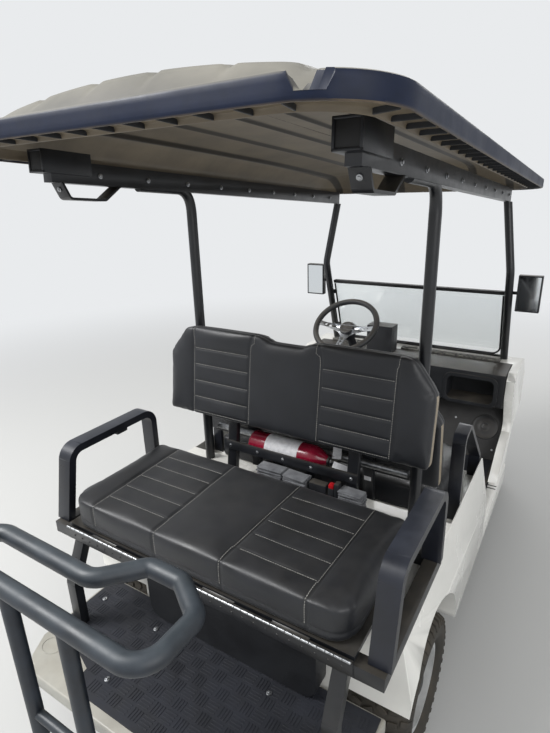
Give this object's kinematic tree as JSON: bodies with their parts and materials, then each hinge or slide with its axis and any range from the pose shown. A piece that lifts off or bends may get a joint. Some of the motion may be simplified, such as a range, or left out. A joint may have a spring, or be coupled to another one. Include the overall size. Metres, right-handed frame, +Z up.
{
  "type": "golf cart",
  "caption": "Open golf cart with a moulded canopy, a front bench, a flip-up rear bench, a rear footplate and hand hold, a folded clear windscreen and a steered front axle.",
  "frame": {"origin": "on the ground, midway between the front bumper and the rear grab bar and between the sides", "axes": "+Z up, -Y the way the cart drives, +X the driver's side"},
  "size_m": [1.278, 2.92, 1.9681],
  "materials": {
    "black_plastic": "satin",
    "body_white": "gloss",
    "canopy_shell": "weathered",
    "chassis_paint": "matt",
    "clear": "clear",
    "foot_grey": "satin",
    "frame_black": "satin",
    "grab_grey": "worn satin",
    "mirror": "polished",
    "red_paint": "gloss",
    "rim_paint": "satin",
    "rubber": "matt",
    "steel": "brushed",
    "tyre": "matt",
    "vinyl": "soft sheen"
  },
  "bodies": {
    "chassis": {"armrests": "frame_black", "backrest_supports": "frame_black", "canopy": "canopy_shell", "canopy_frame": "frame_black", "chassis_frame": "chassis_paint", "dashboard": "black_plastic", "extinguisher_saddles": "frame_black", "fire_extinguisher": "red_paint", "floor_pan": "black_plastic", "footplate": "foot_grey", "front_axle_beam": "chassis_paint", "front_bumper": "rubber", "front_cowl": "body_white", "front_seat_back": "vinyl", "front_seat_cushion": "vinyl", "grab_bar": "grab_grey", "mirror_glasses": "mirror", "mirror_housings": "black_plastic", "motor_block": "chassis_paint", "pedals": "steel", "rear_axle": "chassis_paint", "rear_body": "body_white", "rear_leaf_springs": "chassis_paint", "rear_seat_back": "vinyl", "rear_seat_frame": "frame_black", "rear_seat_hinge": "steel", "roof_struts": "frame_black", "rubber_mats": "rubber", "shock_absorbers": "chassis_paint", "sill_panels": "body_white", "steering_column": "black_plastic", "windscreen_channels": "black_plastic", "windscreen_panes": "clear"},
    "knuckle_l": {"knuckle_left": "chassis_paint"},
    "knuckle_r": {"knuckle_right": "chassis_paint"},
    "tie": {"tie_rod": "chassis_paint"},
    "steering": {"steering_wheel_rim": "black_plastic", "steering_wheel_spokes": "steel"},
    "flip_seat": {"rear_seat_panel": "black_plastic", "rear_seat_cushion": "vinyl"},
    "wheel_front_left": {"tyre_front_left": "tyre", "rim_front_left": "rim_paint"},
    "wheel_front_right": {"tyre_front_right": "tyre", "rim_front_right": "rim_paint"},
    "wheel_rear_left": {"tyre_rear_left": "tyre", "rim_rear_left": "rim_paint"},
    "wheel_rear_right": {"tyre_rear_right": "tyre", "rim_rear_right": "rim_paint"}
  },
  "joints": [
    {"name": "steer_left", "type": "hinge", "parent": "chassis", "child": "knuckle_l", "pos_m": [0.3, -1.06, 0.23], "axis": [0, 0, 1], "range_deg": [-30, 30]},
    {"name": "steer_right", "type": "hinge", "parent": "chassis", "child": "knuckle_r", "pos_m": [-0.3, -1.06, 0.23], "axis": [0, 0, 1], "range_deg": [-30, 30]},
    {"name": "tie_rod_pivot", "type": "hinge", "parent": "knuckle_l", "child": "tie", "pos_m": [0.3, -0.94, 0.23], "axis": [0, 0, 1], "range_deg": [-30, 30]},
    {"name": "steering_wheel_turn", "type": "hinge", "parent": "chassis", "child": "steering", "pos_m": [0.24, -0.567, 1.05], "axis": [0, 0.6157, 0.788], "range_deg": [-450, 450]},
    {"name": "spin_front_left", "type": "hinge", "parent": "knuckle_l", "child": "wheel_front_left", "pos_m": [0.44, -1.06, 0.23], "axis": [1, 0, 0], "continuous": true},
    {"name": "spin_front_right", "type": "hinge", "parent": "knuckle_r", "child": "wheel_front_right", "pos_m": [-0.44, -1.06, 0.23], "axis": [1, 0, 0], "continuous": true},
    {"name": "spin_rear_left", "type": "hinge", "parent": "chassis", "child": "wheel_rear_left", "pos_m": [0.489, 0.604, 0.23], "axis": [1, 0, 0], "continuous": true},
    {"name": "spin_rear_right", "type": "hinge", "parent": "chassis", "child": "wheel_rear_right", "pos_m": [-0.489, 0.604, 0.23], "axis": [1, 0, 0], "continuous": true},
    {"name": "rear_seat_flip", "type": "hinge", "parent": "chassis", "child": "flip_seat", "pos_m": [0, 1.033, 0.72], "axis": [-1, 0, 0], "range_deg": [0, 100]}
  ],
  "couplings": [
    {"joint": "steer_right", "follows": "steer_left", "ratio": 1},
    {"joint": "tie_rod_pivot", "follows": "steer_left", "ratio": -1},
    {"joint": "steering_wheel_turn", "follows": "steer_left", "ratio": 15}
  ]
}
